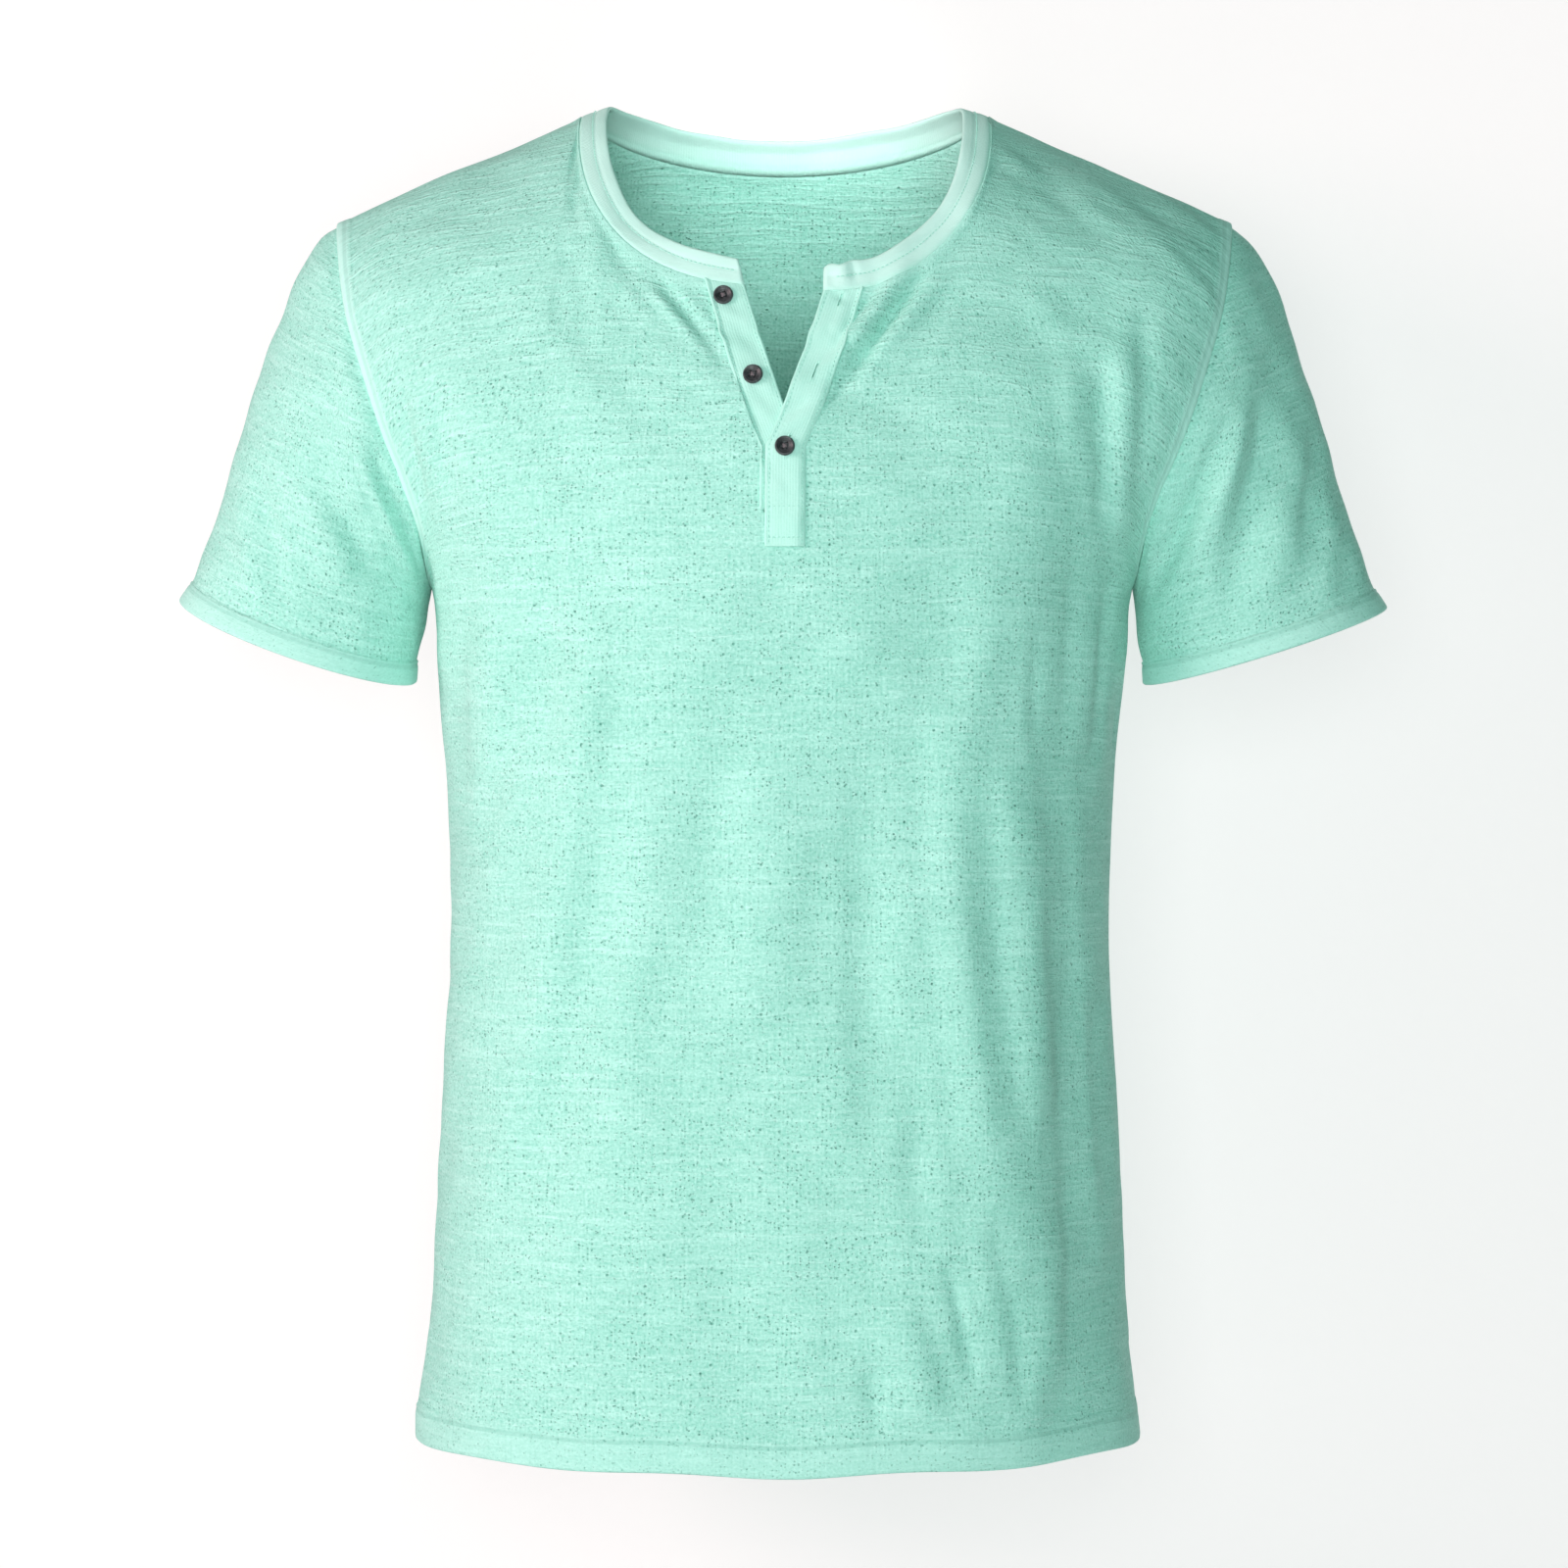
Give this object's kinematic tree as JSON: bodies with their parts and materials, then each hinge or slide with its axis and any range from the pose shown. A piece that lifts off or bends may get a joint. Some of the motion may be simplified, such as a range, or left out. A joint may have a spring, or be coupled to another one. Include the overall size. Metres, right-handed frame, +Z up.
{
  "type": "short-sleeved henley shirt held up by its wearer",
  "caption": "Short-sleeved shirt filled out as if worn, with a round neckband, a short open placket splayed in a V, dark round buttons, set-in sleeves and turned hems.",
  "frame": {"origin": "midway between the two points where neckline and shoulder seams meet, at the height of a wearer's shoulders by the neck", "axes": "+X to the wearer's left, -Y out of the front, +Z up towards the neck opening"},
  "size_m": [0.6262, 0.2457, 0.6964],
  "materials": {
    "jersey": "matte light slub jersey",
    "rib": "matte smooth fine rib, a little paler",
    "button": "satin dark brown"
  },
  "bodies": {
    "root": {"front": "jersey", "back": "jersey", "sleeve_left": "jersey", "sleeve_right": "jersey", "neckband": "rib", "placket_under": "rib", "placket_over": "rib", "button_top": "button", "button_middle": "button", "button_bottom": "button"}
  },
  "joints": []
}
